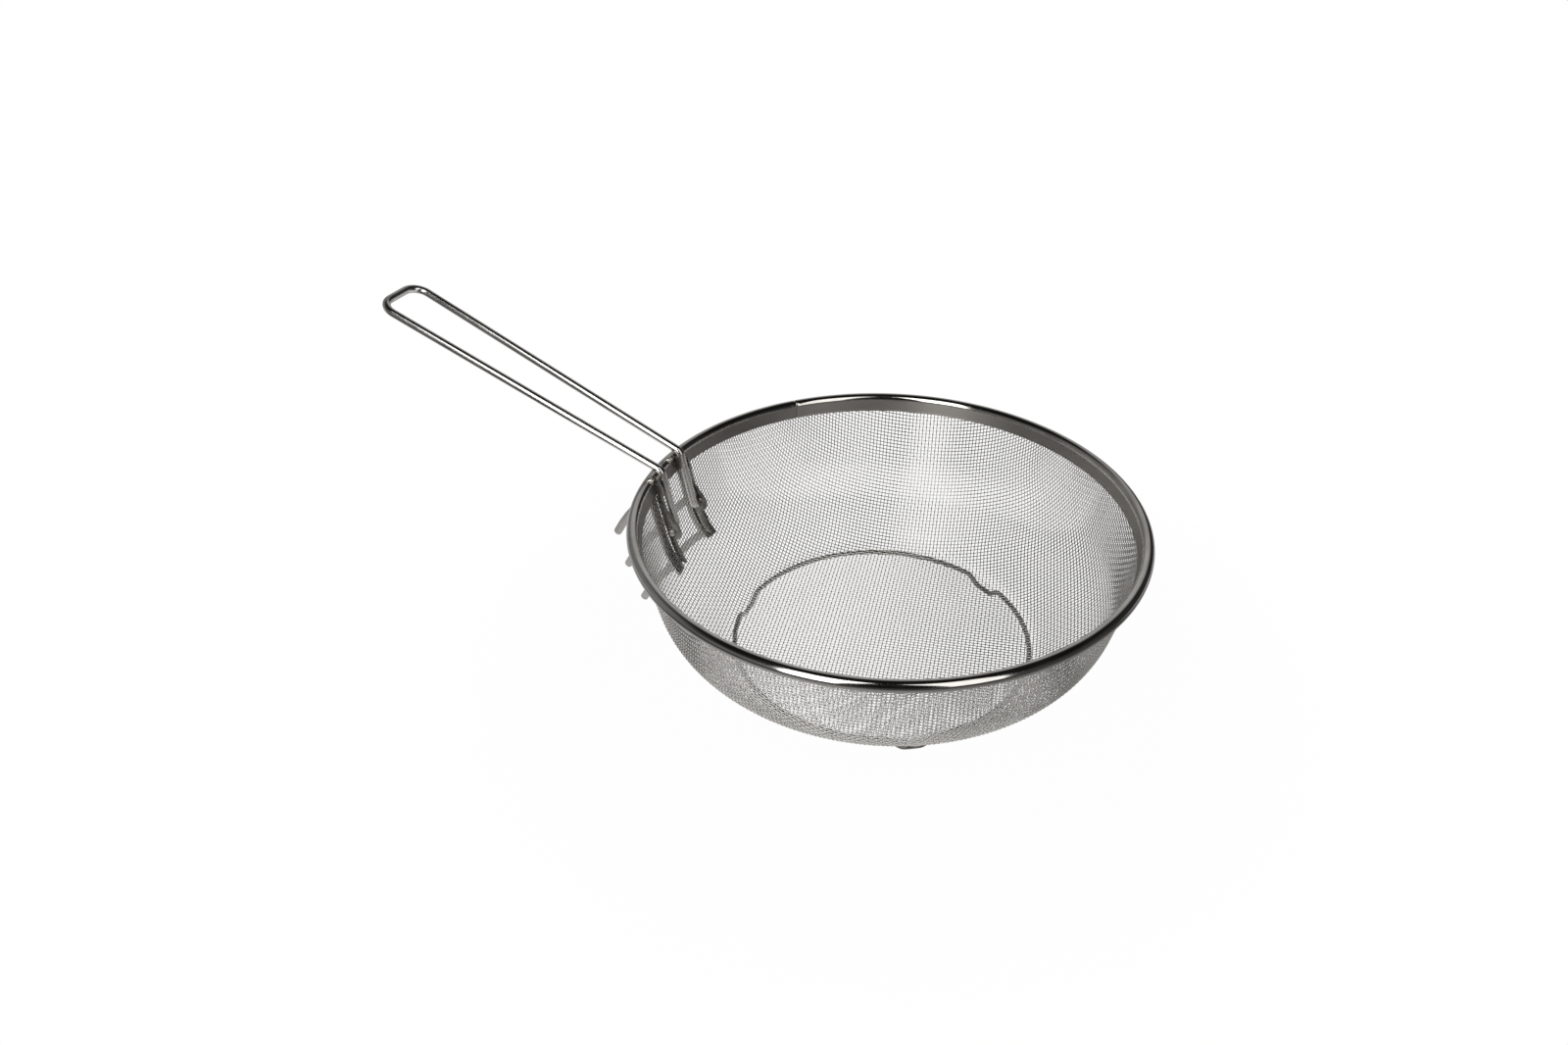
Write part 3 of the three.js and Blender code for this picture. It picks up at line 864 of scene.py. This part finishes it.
def makeStamping(name, node):
    source = bmesh.new()
    source.from_mesh(nodes[node].data)
    bmesh.ops.remove_doubles(source, verts=source.verts, dist=bracket["merge"])
    bmesh.ops.dissolve_limit(
        source,
        angle_limit=math.radians(bracket["flatWithin"]),
        verts=source.verts,
        edges=source.edges,
        use_dissolve_boundaries=False,
    )
    mesh = bpy.data.meshes.new(name)
    source.to_mesh(mesh)
    source.free()
    for face in mesh.polygons:
        face.use_smooth = True
    mesh.materials.clear()
    mesh.materials.append(sheetSteel)
    obj = bpy.data.objects.new(name, mesh)
    scene.collection.objects.link(obj)
    bevel = obj.modifiers.new("brokenEdges", "BEVEL")
    bevel.width, bevel.segments = bracket["edge"], bracket["steps"]
    bevel.limit_method, bevel.angle_limit = "ANGLE", math.radians(bracket["sharpFrom"])
    bevel.harden_normals = True
    return addPiece(obj, "basket", "sheet_steel", node)


for pieceName, node in (
    ("hingeEarLeft", "hinge_ear_left"),
    ("hingeEarRight", "hinge_ear_right"),
    ("hookPlateLeft", "hook_plate_left"),
    ("hookPlateRight", "hook_plate_right"),
):
    makeStamping(pieceName, node)
print("bracket made")


# studio: a white floor that keeps the basket's shadow, two soft boxes beside the camera, and a room
# with a pale backdrop ahead, grey at the left, near black at the right and dark overhead

studio = dict(
    floor=12.0,
    floorColour=(0.86, 0.86, 0.855, 1),
    shadow=0.02,
    shadowReach=(0.13, 0.27),
    floorSeen=(0.95, 0.50),  # what the steel mirrors of the floor near the basket, left and right
    floorAcross=(-0.10, 0.10),
    floorFar=(0.07, 0.45),  # and of the floor farther out, before and behind it
    floorAlong=(-0.05, 0.20),
    farFrom=(0.15, 0.28),
    roomDim=0.01,
    sides=(0.03, 0.32),
    sidesAcross=(-0.3, 0.3),
    leftSide=0.18,
    rightSide=0.05,
    overhead=(0.15, 0.8),
    backdrop=(0.21, 0.48),
    backdropAcross=(-0.45, -0.10),
    backdropEnd=(0.25, 0.55),
    backdropRight=0.06,
    backdropTop=(0.50, 0.85),
    aheadFrom=(-0.1, 0.3),
)
softBoxes = dict(
    left=-31.0,  # turns from the camera's side
    right=29.0,
    height=0.56,
    distance=0.86,
    width=0.42,
    tall=1.30,
    power=(5.6, 2.8),
)


def inView(east, north):
    # level coordinates across the camera's view and along it
    turn = math.radians(view["turn"])
    aside = east * math.cos(turn) + north * math.sin(turn)
    forward = north * math.cos(turn) - east * math.sin(turn)
    return aside, forward


def makeFloor():
    half = studio["floor"] / 2
    corners = [(-half, -half, 0), (half, -half, 0), (half, half, 0), (-half, half, 0)]
    material, start = newMaterial("paleFloor")
    path = start.make("ShaderNodeLightPath", {}, {}, out="Is Camera Ray")
    seen = start.maths("MAXIMUM", path, path.part("Is Transmission Ray"))
    where = split(start, objectPlace(start))
    east, north = where.part(0) - place["axisX"], where.part(1)
    away = start.maths("SQRT", east * east + north * north)
    aside, forward = inView(east, north)
    near = aside.mapped(*studio["floorAcross"], *studio["floorSeen"])
    far = forward.mapped(*studio["floorAlong"], *studio["floorFar"])
    mirrored = away.mapped(*studio["farFrom"]) * (far - near) + near
    white = start.make("ShaderNodeEmission", {}, {"Color": (1, 1, 1, 1), "Strength": 1.0})
    mirror = start.make("ShaderNodeEmission", {}, {"Color": mirrored, "Strength": 1.0})
    plain = start.make("ShaderNodeBsdfDiffuse", {}, {"Color": studio["floorColour"]})
    shade = away.mapped(*studio["shadowReach"], studio["shadow"], 0.0)
    shown = start.make("ShaderNodeMixShader", {}, {0: shade, 1: white, 2: plain})
    lit = start.make("ShaderNodeMixShader", {}, {0: seen, 1: plain, 2: shown})
    surface = start.make("ShaderNodeMixShader", {}, {0: path.part("Is Glossy Ray"), 1: lit, 2: mirror})
    start.make("ShaderNodeOutputMaterial", {}, {"Surface": surface})
    floor = meshObject("floor", corners, [(0, 1, 2, 3)], material)
    floor.data.polygons[0].use_smooth = False


def makeRoom():
    world = bpy.data.worlds.new("room")
    scene.world = world
    world.use_nodes = True
    world.node_tree.nodes.clear()
    start = Value(world.node_tree)
    direction = split(start, start.make("ShaderNodeTexCoord", {}, {}, out="Generated"))
    high = direction.part(2)
    aside, forward = inView(direction.part(0), direction.part(1))
    sideTone = aside.mapped(*studio["sidesAcross"], studio["leftSide"], studio["rightSide"])
    beside = (aside * aside).mapped(*studio["sides"]) * sideTone
    below = high.mapped(*studio["overhead"], 1.0, 0.0)
    backdrop = aside.mapped(*studio["backdropAcross"], *studio["backdrop"])
    backdrop = backdrop * aside.mapped(*studio["backdropEnd"], 1.0, studio["backdropRight"])
    backdrop = backdrop * high.mapped(*studio["backdropTop"], 1.0, 0.0)
    ahead = forward.mapped(*studio["aheadFrom"])
    glow = beside * below * (1.0 - ahead) + backdrop * ahead
    seen = start.make("ShaderNodeLightPath", {}, {}, out="Is Camera Ray")
    room = start.maths("MAXIMUM", start.maths("MAXIMUM", glow, studio["roomDim"]), seen)
    background = start.make("ShaderNodeBackground", {}, {"Color": room, "Strength": 1.0})
    start.make("ShaderNodeOutputWorld", {}, {"Surface": background})


def makeSoftBoxes():
    centre = Vector((place["axisX"], 0, place["rimTop"] / 2))
    for name, power in zip(("left", "right"), softBoxes["power"]):
        angle = math.radians(view["turn"] + softBoxes[name] - 90)
        way = Vector((math.cos(angle), math.sin(angle), 0))
        data = bpy.data.lights.new(name + "SoftBox", "AREA")
        data.shape, data.size, data.size_y = "RECTANGLE", softBoxes["width"], softBoxes["tall"]
        data.energy = power
        lamp = bpy.data.objects.new(name + "SoftBox", data)
        scene.collection.objects.link(lamp)
        lamp.location = centre + way * softBoxes["distance"] + Vector((0, 0, softBoxes["height"]))
        lamp.rotation_mode = "QUATERNION"
        lamp.rotation_quaternion = (centre - lamp.location).to_track_quat("-Z", "Y")


makeFloor()
makeRoom()
makeSoftBoxes()
print("studio made")
